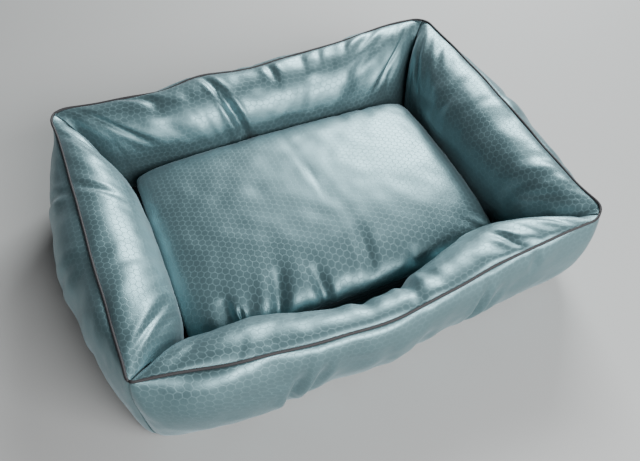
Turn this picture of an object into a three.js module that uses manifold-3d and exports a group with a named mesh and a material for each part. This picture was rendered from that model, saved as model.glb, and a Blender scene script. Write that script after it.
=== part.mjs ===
// A rectangular cushion bed for a cat or a small dog. Four stuffed walls, mitred where they meet, stand
// on a base cloth round a loose pillow. Each wall is an outer and an inner panel of satin cloth sewn
// over a filling, with a line of piping along the ridge where the two panels meet. The pillow is two
// panels over a filling, with a zip in the seam along its front edge.
//
// Millimetres. +X runs along the length, +Y from the front wall to the back wall, +Z up. The origin is
// on the floor, under the middle of the bed. Every wall is built in the same frame of its own: X along
// the wall, Y inwards from the line between its two corners, Z up, and is then turned into place.
import * as THREE from "three";
import { mergeVertices } from "three/addons/utils/BufferGeometryUtils.js";
import Module from "manifold-3d";

const wasm = await Module();
wasm.setup();

// ---- Driving dimensions ------------------------------------------------------------------------

const LENGTH = 664; // between the corner lines, along X
const WIDTH = 536; // between the corner lines, along Y
const CORNER_HEIGHT = 152; // floor to ridge at the four corners
const FOOT = 48; // from the corner line to a wall's inner seam with the base cloth
const CORNER_POWER = 2.8; // how quickly a wall fills out away from its mitred ends
const INNER_FULLNESS = 0.45; // how full the inner face is at the mitres, where two walls press together

// At mid wall: how far the ridge rises above the corners and leans out, how far the base seam is tucked
// in, and how far the outer and the inner face bulge, from the corner line. The front wall has slumped.
const FRONT = { rise: -16, lean: 26, tuck: 28, outerBulge: 44, innerBulge: 72 };
const BACK = { rise: 4, lean: 5, tuck: 12, outerBulge: 44, innerBulge: 86 };
const LEFT = { rise: 3, lean: 5, tuck: 12, outerBulge: 59, innerBulge: 82 };
const RIGHT = { rise: 0, lean: 11, tuck: 12, outerBulge: 59, innerBulge: 82 };

const CLOTH = 1.6; // a panel with its seam allowances
const GAP = 0.4; // between pieces that touch
const PIPING_RADIUS = 2.6;
const BASE_INSET = 2.2; // the base cloth's edge, inwards from the corner line
const SEAM_AT_CORNER = 2.4; // half the space between the two panels' upper edges
const SEAM_AT_MIDDLE = 1.2;

const CUSHION_LENGTH = 494;
const CUSHION_WIDTH = 354;
const CUSHION_SEAM_HEIGHT = 50;
const ZIP_HEIGHT = 27; // the seam runs lower along the front edge, where the zip is
const CUSHION_TOP = 98; // at its crown
const CUSHION_BEND_IN = 3; // how far each edge curves in between its corners
const FILLING_SHARE = 0.98; // the pillow's filling against the space inside its panels

const ZIP_HALF = 160;
const ZIP_TAPE_WIDTH = 9;
const ZIP_TAPE = 0.8;
const ZIP_COIL_WIDTH = 3.4;
const ZIP_COIL_HEIGHT = 1.6;
const SLIDER_LENGTH = 10;
const SLIDER_WIDTH = 8;
const PULL_LENGTH = 14;
const PULL_WIDTH = 5;

const ALONG = 16; // facets along a wall
const ACROSS = 6; // facets up a panel
const FILLING_TOP = 0.95; // how far up the two faces the filling reaches
const FILLING_NARROWING = 0.2; // drawn in at the top by this share of its thickness, on each face
const FILLING_LENGTH = 0.998; // its length as a share of the wall's

// ---- Materials ---------------------------------------------------------------------------------

const cloth = (color, roughness) => new THREE.MeshStandardMaterial({ color, roughness, metalness: 0 });
const metal = (color) => new THREE.MeshStandardMaterial({ color, roughness: 0.35, metalness: 0.9 });
const satin = cloth(0x768c8f, 0.45);
const pipingCloth = cloth(0x3f4246, 0.7);
const gripCloth = cloth(0x35383b, 0.9);
const fibre = cloth(0xf0efea, 1.0);
const zipTape = cloth(0x4a5356, 0.85);
const zipCoil = cloth(0x555c5f, 0.5);
const nickel = metal(0x9a9c9e);

// ---- Small helpers -----------------------------------------------------------------------------

const mix = (a, b, share) => a + (b - a) * share;
const mixPoint = (a, b, share) => [mix(a[0], b[0], share), mix(a[1], b[1], share)];

function bezier(p0, p1, p2, p3, s) {
  const r = 1 - s;
  const weights = [r * r * r, 3 * r * r * s, 3 * r * s * s, s * s * s];
  const sum = (k) => [p0, p1, p2, p3].reduce((total, p, i) => total + p[k] * weights[i], 0);
  return [sum(0), sum(1)];
}

// A closed slab of `columns` by `rows` cells between two surfaces. `map(u, v, k)` gives the point at u
// and v from 0 to 1 on surface k, 0 or 1. Every cell is split along the same diagonal on both surfaces.
function slab(columns, rows, map) {
  const points = [];
  const index = [];
  for (let i = 0; i <= columns; i += 1) {
    for (let j = 0; j <= rows; j += 1) {
      points.push(...map(i / columns, j / rows, 0), ...map(i / columns, j / rows, 1));
    }
  }
  const at = (i, j, k) => 2 * (i * (rows + 1) + j) + k;
  const quad = (p, q, r, s) => index.push(p, q, r, p, r, s);
  for (let i = 0; i < columns; i += 1) {
    for (let j = 0; j < rows; j += 1) {
      quad(at(i, j, 1), at(i + 1, j, 1), at(i + 1, j + 1, 1), at(i, j + 1, 1));
      quad(at(i, j, 0), at(i, j + 1, 0), at(i + 1, j + 1, 0), at(i + 1, j, 0));
    }
    quad(at(i, 0, 0), at(i + 1, 0, 0), at(i + 1, 0, 1), at(i, 0, 1));
    quad(at(i, rows, 1), at(i + 1, rows, 1), at(i + 1, rows, 0), at(i, rows, 0));
  }
  for (let j = 0; j < rows; j += 1) {
    quad(at(0, j, 1), at(0, j + 1, 1), at(0, j + 1, 0), at(0, j, 0));
    quad(at(columns, j, 0), at(columns, j + 1, 0), at(columns, j + 1, 1), at(columns, j, 1));
  }
  const geometry = new THREE.BufferGeometry().setIndex(index);
  return geometry.setAttribute("position", new THREE.Float32BufferAttribute(points, 3));
}

function block(x0, x1, y0, y1, z0, z1) {
  const box = new THREE.BoxGeometry(x1 - x0, y1 - y0, z1 - z0);
  return box.translate((x0 + x1) / 2, (y0 + y1) / 2, (z0 + z1) / 2);
}

function named(name, geometry, material) {
  const mesh = new THREE.Mesh(geometry, material);
  mesh.name = name;
  return mesh;
}

function solid(geometry) {
  const bare = geometry.index ? geometry.toNonIndexed() : geometry.clone();
  bare.deleteAttribute("normal");
  bare.deleteAttribute("uv");
  const merged = mergeVertices(bare, 1e-4);
  const vertProperties = merged.attributes.position.array;
  const triVerts = new Uint32Array(merged.index.array);
  return new wasm.Manifold(new wasm.Mesh({ numProp: 3, vertProperties, triVerts }));
}

function joined(...geometries) {
  const mesh = geometries.map(solid).reduce((whole, piece) => whole.add(piece)).getMesh();
  return new THREE.BufferGeometry()
    .setAttribute("position", new THREE.BufferAttribute(mesh.vertProperties, 3))
    .setIndex(new THREE.BufferAttribute(mesh.triVerts, 1));
}

// ---- A wall's cross-section --------------------------------------------------------------------
// Points are [inwards, up]. t runs from -1 to 1 along the wall, s from 0 to 1 along a face's outline.

const fullness = (t) => 1 - Math.abs(t) ** CORNER_POWER;

const ridge = (wall, t) => [-wall.lean * fullness(t), CORNER_HEIGHT + wall.rise * fullness(t)];

const halfSeam = (t) => mix(SEAM_AT_CORNER, SEAM_AT_MIDDLE, fullness(t));

const baseSeam = (wall, t) => wall.tuck * fullness(t);

// The outer face, from the base seam out along the floor and up to the ridge.
function outerFace(wall, t, s) {
  const [inwards, up] = ridge(wall, t);
  const bottom = [baseSeam(wall, t), 0];
  const top = [inwards - halfSeam(t), up];
  const low = mixPoint([0, up / 3], [-wall.outerPull, 0], fullness(t));
  const high = mixPoint([0, (up * 2) / 3], [-wall.outerPull * 0.93, up * 0.8], fullness(t));
  return bezier(bottom, low, high, top, s);
}

// The inner face, from the base seam up over the wall's shoulder to the ridge.
function innerFace(wall, t, s) {
  const [inwards, up] = ridge(wall, t);
  const full = mix(INNER_FULLNESS, 1, fullness(t));
  const bottom = [FOOT, 2 * CLOTH + GAP];
  const top = [inwards + halfSeam(t), up];
  const low = mixPoint(mixPoint(bottom, top, 1 / 3), [wall.innerPull, up * 0.54], full);
  const high = mixPoint(mixPoint(bottom, top, 2 / 3), [wall.innerPull * 0.5, up * 1.12], full);
  return bezier(bottom, low, high, top, s);
}

// `side` is -1 for the outer face and 1 for the inner one, the way that it faces.
const OUTER = { outline: outerFace, side: -1 };
const INNER = { outline: innerFace, side: 1 };

// How far a face reaches at mid wall, over the ends of its facets.
function reach(face, wall) {
  const ends = Array.from({ length: ACROSS + 1 }, (_, row) => face.outline(wall, 0, row / ACROSS));
  return Math.max(...ends.map(([inwards]) => inwards * face.side));
}

// A wall's shape with the pull that makes each face reach as far as the shape says.
function shapedWall(shape, half) {
  const wall = { ...shape, half };
  const fit = (face, key, bulge) => {
    let [low, high] = [0, 4 * bulge];
    while (high - low > 1e-6) {
      wall[key] = (low + high) / 2;
      if (reach(face, wall) > bulge) high = wall[key];
      else low = wall[key];
    }
  };
  fit(OUTER, "outerPull", shape.outerBulge);
  fit(INNER, "innerPull", shape.innerBulge);
  return wall;
}

// A point of a face moved into the wall, square to the face.
function sunk(face, wall, t, s, depth) {
  const step = 1e-3;
  const before = face.outline(wall, t, Math.max(0, s - step));
  const after = face.outline(wall, t, Math.min(1, s + step));
  const run = [after[0] - before[0], after[1] - before[1]];
  const move = (-face.side * depth) / Math.hypot(...run);
  const [inwards, up] = face.outline(wall, t, s);
  return [inwards + run[1] * move, up - run[0] * move];
}

// A section's point at t along the wall. The ends lie in the mitre planes, a little apart.
function along(wall, t, [inwards, up]) {
  return [t * (wall.half - inwards - GAP), inwards, up];
}

// Facets are narrower towards the mitred ends, where the section changes most.
const station = (u) => Math.sign(u) * (1 - (1 - Math.abs(u)) ** 1.3);

// ---- A wall's pieces ---------------------------------------------------------------------------

const wallPanel = (wall, face) =>
  slab(ALONG, ACROSS, (u, v, k) => {
    const t = station(2 * u - 1);
    const isOutside = face.side < 0 ? k === 1 : k === 0;
    return along(wall, t, sunk(face, wall, t, v, isOutside ? 0 : CLOTH));
  });

// The filling follows the panels' own facets and stops below the ridge, where the seam allowances are.
function againstPanel(wall, face, t, s) {
  const row = Math.min(ACROSS - 1, Math.floor(s * ACROSS + 1e-9));
  const [lower, upper] = [row, row + 1].map((n) => sunk(face, wall, t, n / ACROSS, CLOTH + GAP));
  const [inwards, up] = mixPoint(lower, upper, s * ACROSS - row);
  return [inwards, Math.max(up, CLOTH + GAP)];
}

const wallFilling = (wall) =>
  slab(ALONG, ACROSS, (u, v, k) => {
    const t = station(2 * u - 1);
    const height = Math.min(v, FILLING_TOP);
    const [outer, inner] = [OUTER, INNER].map((face) => againstPanel(wall, face, t, height));
    const narrowing = v === 1 ? FILLING_NARROWING : 0;
    const point = mixPoint(outer, inner, k === 1 ? narrowing : 1 - narrowing);
    return along(wall, t * FILLING_LENGTH, point);
  });

class RidgeLine extends THREE.Curve {
  constructor(wall) {
    super();
    this.wall = wall;
  }

  getPoint(u, target = new THREE.Vector3()) {
    const t = 2 * u - 1;
    const [inwards, up] = ridge(this.wall, t);
    return target.set(t * (this.wall.half - PIPING_RADIUS - GAP), inwards, up + PIPING_RADIUS + GAP);
  }
}

function wallPiping(wall) {
  const section = new THREE.Shape().absarc(0, 0, PIPING_RADIUS, 0, 2 * Math.PI);
  const extrudePath = new RidgeLine(wall);
  return new THREE.ExtrudeGeometry(section, { extrudePath, steps: ALONG, curveSegments: 8 });
}

// ---- The zip -----------------------------------------------------------------------------------
// Its own frame: X along it, Y across it, Z out of the cloth, on the side of the slider.

const COIL_TOP = ZIP_TAPE + GAP + ZIP_COIL_HEIGHT;
const PLATE_BOTTOM = COIL_TOP + GAP;
const PLATE_TOP = PLATE_BOTTOM + 0.9;
const PIVOT_HEIGHT = PLATE_TOP + 1.4;
const PULL_BAR = 0.6; // half the thickness of the bar that turns in the slider's bridge

const zipTapeStrip = (side) => {
  const [y0, y1] = side > 0 ? [GAP / 2, ZIP_TAPE_WIDTH] : [-ZIP_TAPE_WIDTH, -GAP / 2];
  return block(-ZIP_HALF, ZIP_HALF, y0, y1, 0, ZIP_TAPE);
};

const zipCoilBar = () => {
  const y = ZIP_COIL_WIDTH / 2;
  return block(-ZIP_HALF, ZIP_HALF, -y, y, ZIP_TAPE + GAP, COIL_TOP);
};

// The slider's flanges straddle the coil, and its bridge holds the pull's bar.
function zipSlider() {
  const x = SLIDER_LENGTH / 2;
  const y = SLIDER_WIDTH / 2;
  const channel = ZIP_COIL_WIDTH / 2 + GAP;
  const plate = block(-x, x, -y, y, PLATE_BOTTOM, PLATE_TOP);
  const right = block(-x, x, channel, y, ZIP_TAPE + GAP, PLATE_BOTTOM + 0.2);
  const left = block(-x, x, -y, -channel, ZIP_TAPE + GAP, PLATE_BOTTOM + 0.2);
  const arch = new THREE.Shape().absarc(0, PIVOT_HEIGHT, 2.3, 0, Math.PI);
  arch.lineTo(-2.3, PLATE_TOP - 0.2).lineTo(2.3, PLATE_TOP - 0.2);
  arch.holes.push(new THREE.Path().absarc(0, PIVOT_HEIGHT, 1.2, 0, 2 * Math.PI));
  const bridge = new THREE.ExtrudeGeometry(arch, { depth: 1.6, bevelEnabled: false, curveSegments: 6 });
  bridge.translate(0, 0, -0.8).rotateX(Math.PI / 2);
  return joined(plate, right, left, bridge);
}

// The pull lies flat along the zip. Its origin is the middle of its bar, on the hinge's axis.
function zipPull() {
  const y = PULL_WIDTH / 2;
  const outline = new THREE.Shape();
  outline.moveTo(PULL_BAR, -y).lineTo(PULL_BAR, y).lineTo(y - PULL_LENGTH, y);
  outline.absarc(y - PULL_LENGTH, 0, y, Math.PI / 2, (3 * Math.PI) / 2);
  const window = new THREE.Path();
  window.moveTo(-PULL_BAR, -1.3).lineTo(-4.4, -1.3).lineTo(-4.4, 1.3).lineTo(-PULL_BAR, 1.3);
  outline.holes.push(window);
  const plate = new THREE.ExtrudeGeometry(outline, { depth: 1, bevelEnabled: false, curveSegments: 5 });
  return plate.translate(0, 0, -0.5);
}

function zip() {
  const group = new THREE.Group();
  group.add(named("zip_upper_tape", zipTapeStrip(1), zipTape));
  group.add(named("zip_lower_tape", zipTapeStrip(-1), zipTape));
  group.add(named("zip_coil", zipCoilBar(), zipCoil));
  const slider = new THREE.Group();
  slider.position.x = ZIP_HALF - SLIDER_LENGTH;
  slider.add(named("zip_slider", zipSlider(), nickel));
  const pull = named("zip_pull", zipPull(), nickel);
  pull.position.z = PIVOT_HEIGHT;
  slider.add(pull);
  group.add(slider);
  return group;
}

// ---- The pillow --------------------------------------------------------------------------------

const ZIP_MOUTH = ZIP_TAPE_WIDTH + GAP; // half the slit that the zip closes

const swell = (u) => (1 - Math.abs(u) ** 2.6) ** (1 / 2.2);

// Facet lines along the pillow: evenly over the zip, one just past its end, then crowding to the corner.
const zipShare = (ZIP_HALF + 2) / (CUSHION_LENGTH / 2);
const CUSHION_LINES = [0, zipShare / 3, (2 * zipShare) / 3, zipShare, zipShare + 0.03, 0.82, 0.93, 0.985, 1];

const cornerward = (u) => Math.sign(u) * CUSHION_LINES[Math.round(Math.abs(u) * (CUSHION_LINES.length - 1))];

const alongLine = (v) => Math.sin((v * Math.PI) / 2);

// How far a panel's rim stands off the seam: open over the zip in the front edge, closed elsewhere.
const slit = (u, v) => (v === -1 && Math.abs(u) < zipShare + 1e-6 ? ZIP_MOUTH : GAP / 2);

const seamHeight = (v) => mix(CUSHION_SEAM_HEIGHT, ZIP_HEIGHT, ((1 - v) / 2) ** 4);

// A point of the pillow's upper (side 1) or lower (side -1) surface, moved in by `inset`. `share` is
// its height off the seam as a share of the full one.
function cushionPoint(u, v, side, inset, rim, share = 1) {
  const bendX = CUSHION_BEND_IN * (1 - v * v);
  const bendY = v < 0 ? 0 : CUSHION_BEND_IN * (1 - u * u);
  const seam = seamHeight(v);
  const rise = side > 0 ? CUSHION_TOP - seam : seam - CLOTH - GAP;
  return [
    u * (CUSHION_LENGTH / 2 - inset - bendX),
    v * (CUSHION_WIDTH / 2 - inset - bendY),
    seam + side * Math.max(rim, share * (rise - inset) * swell(u) * swell(v)),
  ];
}

const cushionSlab = (map) =>
  slab(16, 12, (u, v, k) => map(cornerward(2 * u - 1), alongLine(2 * v - 1), k));

const cushionPanel = (side) =>
  cushionSlab((u, v, k) => {
    const isOutside = side > 0 ? k === 1 : k === 0;
    return cushionPoint(u, v, side, isOutside ? 0 : CLOTH, slit(u, v));
  });

const cushionFilling = () =>
  cushionSlab((u, v, k) => cushionPoint(u, v, k === 1 ? 1 : -1, CLOTH, GAP / 4, FILLING_SHARE));

function cushion() {
  const group = new THREE.Group();
  group.add(named("cushion_top_panel", cushionPanel(1), satin));
  group.add(named("cushion_bottom_panel", cushionPanel(-1), satin));
  group.add(named("cushion_filling", cushionFilling(), fibre));
  const closure = zip();
  closure.position.set(0, ZIP_TAPE - CUSHION_WIDTH / 2, ZIP_HEIGHT);
  closure.rotation.x = Math.PI / 2;
  group.add(closure);
  return group;
}

// ---- The bed -----------------------------------------------------------------------------------

function wall(name, shape, half, turn, x, y) {
  const shaped = shapedWall(shape, half);
  const group = new THREE.Group();
  group.add(named(name + "_outer_panel", wallPanel(shaped, OUTER), satin));
  group.add(named(name + "_inner_panel", wallPanel(shaped, INNER), satin));
  group.add(named(name + "_filling", wallFilling(shaped), fibre));
  group.add(named(name + "_piping", wallPiping(shaped), pipingCloth));
  group.position.set(x, y, 0);
  group.rotation.z = turn;
  return group;
}

// The base cloth, whose edges follow the walls' base seams.
const basePanel = () =>
  slab(ALONG, ALONG, (u, v, k) => {
    const x = station(2 * u - 1);
    const y = station(2 * v - 1);
    const tuckX = baseSeam(x > 0 ? RIGHT : LEFT, y);
    const tuckY = baseSeam(y > 0 ? BACK : FRONT, x);
    return [x * (LENGTH / 2 - BASE_INSET - tuckX), y * (WIDTH / 2 - BASE_INSET - tuckY), k * CLOTH];
  });

const bed = new THREE.Group();
bed.add(named("base_panel", basePanel(), gripCloth));
bed.add(wall("front", FRONT, LENGTH / 2, 0, 0, -WIDTH / 2));
bed.add(wall("right", RIGHT, WIDTH / 2, Math.PI / 2, LENGTH / 2, 0));
bed.add(wall("back", BACK, LENGTH / 2, Math.PI, 0, WIDTH / 2));
bed.add(wall("left", LEFT, WIDTH / 2, -Math.PI / 2, -LENGTH / 2, 0));
bed.add(cushion());

export default bed;
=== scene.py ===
"""The looks of the cushion bed: satin jacquard walls and pillow, piping, stitching, base cloth and zip.

Everything is in metres in the CAD frame: +X along the bed, +Y from the front wall to the back, +Z up.
The walls and the pillow are laid out as grids of cloth, each thread with its own length, and settled
by a small cloth simulation: the cloth keeps its length, is pushed out by its filling, and puckers
where it is gathered into a seam.
"""

import math

import bpy
import numpy as np
from mathutils import Matrix, Vector


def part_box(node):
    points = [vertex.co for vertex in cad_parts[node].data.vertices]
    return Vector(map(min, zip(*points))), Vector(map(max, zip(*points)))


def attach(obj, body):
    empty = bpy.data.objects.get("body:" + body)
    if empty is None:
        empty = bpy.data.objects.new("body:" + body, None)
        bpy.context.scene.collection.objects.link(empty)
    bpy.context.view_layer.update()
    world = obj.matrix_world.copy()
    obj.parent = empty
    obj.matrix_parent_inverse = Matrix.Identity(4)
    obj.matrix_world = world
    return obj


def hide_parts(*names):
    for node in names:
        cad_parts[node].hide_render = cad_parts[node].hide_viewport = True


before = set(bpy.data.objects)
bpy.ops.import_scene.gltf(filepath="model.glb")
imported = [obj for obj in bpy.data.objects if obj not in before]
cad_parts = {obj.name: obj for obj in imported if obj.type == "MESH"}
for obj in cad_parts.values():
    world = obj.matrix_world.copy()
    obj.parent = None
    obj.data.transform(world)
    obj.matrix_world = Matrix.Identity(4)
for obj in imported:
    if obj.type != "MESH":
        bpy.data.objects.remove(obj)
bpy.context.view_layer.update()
RNG = np.random.default_rng(11)

# ---- Dimensions of the bed, as in the CAD -------------------------------------------------------

HALF_LENGTH = 0.332
HALF_WIDTH = 0.268
FOOT = 0.048
FOOT_HEIGHT = 0.0036
BASE_CLOTH = 0.0016
MITRE_GAP = 0.0006
CUSHION_HALF = np.array([0.247, 0.177])
CUSHION_SEAM = 0.050
ZIP_HEIGHT = 0.027
CUSHION_TOP = 0.098

HEXAGON = 0.0102  # across the flats of the woven honeycomb
CELL = 0.0052  # of the walls' and the pillow's cloth
OUTER_ROWS = 38
INNER_ROWS = 44

# At each corner, in millimetres: how far the ridge leans out, its height, how far the base seam is
# tucked in, how far the outer faces and the inner faces bulge there, and the ridge's rounding.
CORNERS = {
    "front_left": (0, 152, 8, 9, 70, 8),
    "front_right": (2, 150, 38, 3, 62, 28),
    "back_right": (9, 158, 12, 22, 60, 26),
    "back_left": (14, 154, 12, 6, 50, 32),
}

# Each wall from its -X to its +X end in its own frame: seven even steps between the two corners.
WALLS = {
    "front": {
        "ends": ("front_left", "front_right"), "turn": 0.0, "at": (0.0, -HALF_WIDTH),
        "half": HALF_LENGTH,
        "lean": (9, 21, 28, 30, 19, 6, 3),
        "height": (147, 143, 138, 134, 134, 138, 144),
        "tuck": (12, 18, 24, 30, 36, 40, 40),
        "outer": (34, 38, 37, 38, 27, 14, 9),
        "inner": (69, 65, 51, 46, 58, 78, 84),
    },
    "right": {
        "ends": ("front_right", "back_right"), "turn": math.pi / 2, "at": (HALF_LENGTH, 0.0),
        "half": HALF_WIDTH,
        "lean": (2, 4, 7, 10, 12, 13, 10),
        "height": (151, 152, 152, 153, 154, 155, 157),
        "tuck": (26, 18, 14, 12, 12, 12, 11),
        "outer": (14, 30, 42, 48, 48, 42, 32),
        "inner": (72, 78, 81, 81, 81, 77, 68),
    },
    "back": {
        "ends": ("back_right", "back_left"), "turn": math.pi, "at": (0.0, HALF_WIDTH),
        "half": HALF_LENGTH,
        "lean": (14, 4, 3, -3, 4, -3, 3),
        "height": (156, 153, 153, 150, 154, 151, 153),
        "tuck": (12, 12, 12, 12, 12, 12, 12),
        "outer": (30, 36, 40, 42, 40, 34, 20),
        "inner": (72, 82, 85, 84, 85, 82, 68),
    },
    "left": {
        "ends": ("back_left", "front_left"), "turn": -math.pi / 2, "at": (-HALF_LENGTH, 0.0),
        "half": HALF_WIDTH,
        "lean": (7, 7, 6, 4, 2, 1, 0),
        "height": (153, 154, 154, 154, 153, 152, 151),
        "tuck": (12, 12, 12, 12, 10, 8, 6),
        "outer": (24, 42, 52, 56, 50, 36, 20),
        "inner": (60, 76, 83, 84, 84, 84, 82),
    },
}
SIDE_ROUNDING = 0.034  # of the outer faces' corners, half way up
BASE_ROUNDING = 0.014  # of the base's corners
MITRE_HOLLOW, SIDE_HOLLOW = 0.015, 0.002  # how deep the corner seams lie, in the nest and outside
MITRE_REACH = 0.013


# ---- Small helpers ------------------------------------------------------------------------------

def smooth(values, t):
    """A smooth curve (Catmull-Rom) through evenly spaced values, at t from -1 to 1."""
    v = np.asarray(values, float)
    v = np.concatenate([[2 * v[0] - v[1]], v, [2 * v[-1] - v[-2]]])
    x = (np.clip(t, -1, 1) + 1) / 2 * (len(v) - 3)
    i = np.minimum(x.astype(int), len(v) - 4)
    s = x - i
    a, b, c, d = v[i], v[i + 1], v[i + 2], v[i + 3]
    square, cube = 2 * a - 5 * b + 4 * c - d, 3 * b - a - 3 * c + d
    return 0.5 * (2 * b + (c - a) * s + square * s ** 2 + cube * s ** 3)


def bump(x, centre, width):
    return np.exp(-(((x - centre) / width) ** 2))


def blurred(field, times):
    """A field averaged with its neighbours, with its edges held by reflection."""
    for axis, count in enumerate(times):
        for _ in range(count):
            pad = [(1, 1) if k == axis else (0, 0) for k in range(field.ndim)]
            p = np.pad(field, pad, mode="reflect")
            n = p.shape[axis]
            field = (p.take(range(0, n - 2), axis) + 2 * p.take(range(1, n - 1), axis)
                     + p.take(range(2, n), axis)) / 4
    return field


def noise(shape, times):
    """Smooth random values about 0 with a spread of 1."""
    field = blurred(RNG.standard_normal(shape), times)
    return (field - field.mean()) / field.std()


def normals(x):
    n = np.cross(np.gradient(x, axis=0), np.gradient(x, axis=1))
    return n / (np.linalg.norm(n, axis=2, keepdims=True) + 1e-12)


def lengths(x, axis):
    return np.linalg.norm(np.diff(x, axis=axis), axis=2)


# ---- Cloth simulation ---------------------------------------------------------------------------

def draw_together(a, b, rest, wa, wb, strength):
    """Moves paired points along the line between them until they are `rest` apart."""
    d = b - a
    size = np.sqrt((d * d).sum(-1)) + 1e-12
    move = (strength * (size - rest) / (size * (wa + wb + 1e-9)))[..., None] * d
    a += wa[..., None] * move
    b -= wb[..., None] * move


class Cloth:
    """A grid of cloth. Threads run along both axes, with `rest` lengths of their own."""

    CARRIED = 0.86  # share of the last step's move that is kept
    ROUNDS = 3  # of keeping lengths, in each step
    THREAD_GRIP, SHEAR_GRIP = 0.9, 0.25  # how firmly threads and diagonals keep their lengths

    def __init__(self, x, extra_u, extra_v, free, side):
        self.x = x.copy()
        self.x0 = x.copy()
        self.side = side
        self.free = free.astype(float)
        self.rest_u = lengths(x, 0) * (1 + extra_u)
        self.rest_v = lengths(x, 1) * (1 + extra_v)
        self.rest_diagonal = np.hypot(self._mid(self.rest_u, 1), self._mid(self.rest_v, 0))

    @staticmethod
    def _mid(a, axis):
        n = a.shape[axis]
        return (a.take(range(0, n - 1), axis) + a.take(range(1, n), axis)) / 2

    @staticmethod
    def _neighbours(count, first):
        """Every second line of the grid from `first`, and the line after each."""
        last = first + (count - first) // 2 * 2
        return slice(first, last, 2), slice(first + 1, last, 2)

    def keep_lengths(self):
        x, w, grip, shear = self.x, self.free, self.THREAD_GRIP, self.SHEAR_GRIP
        for first in (0, 1):
            a, b = self._neighbours(x.shape[0], first)
            c, d = self._neighbours(x.shape[1], first)
            draw_together(x[a], x[b], self.rest_u[a], w[a], w[b], grip)
            draw_together(x[:, c], x[:, d], self.rest_v[:, c], w[:, c], w[:, d], grip)
            rest = self.rest_diagonal[a]
            draw_together(x[a, :-1], x[b, 1:], rest, w[a, :-1], w[b, 1:], shear)
            draw_together(x[a, 1:], x[b, :-1], rest, w[a, 1:], w[b, :-1], shear)

    def settle(self, steps, pressure, back, stiffness, limit):
        """`pressure` pushes out and `back` holds the filling's shape, each as a move per step."""
        move = np.zeros_like(self.x)
        n0 = normals(self.x0) * self.side
        for _ in range(steps):
            before = self.x.copy()
            free = self.free[..., None]
            n = normals(self.x) * self.side
            off = ((self.x - self.x0) * n0).sum(-1, keepdims=True)
            self.x += free * (self.CARRIED * move + pressure * n - back * off * n0)
            self.x = self.x0 + self._stiffened(self.x - self.x0, stiffness)
            for _ in range(self.ROUNDS):
                self.keep_lengths()
            limit(self.x)
            move = self.x - before
        return self.x

    def _stiffened(self, d, stiffness):
        p = np.pad(d, ((1, 1), (1, 1), (0, 0)), mode="edge")
        mean = (p[:-2, 1:-1] + p[2:, 1:-1] + p[1:-1, :-2] + p[1:-1, 2:]) / 4
        return d + self.free[..., None] * stiffness * (mean - d)


# ---- The walls' shape ---------------------------------------------------------------------------

def bezier(p0, p1, p2, p3, s):
    r = 1 - s
    w = (r ** 3, 3 * r * r * s, 3 * r * s * s, s ** 3)
    return sum(p[:, None, :] * k[None, :, None] for p, k in zip((p0, p1, p2, p3), w))


def mix(a, b, share):
    return a + (b - a) * share[:, None]


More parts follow.
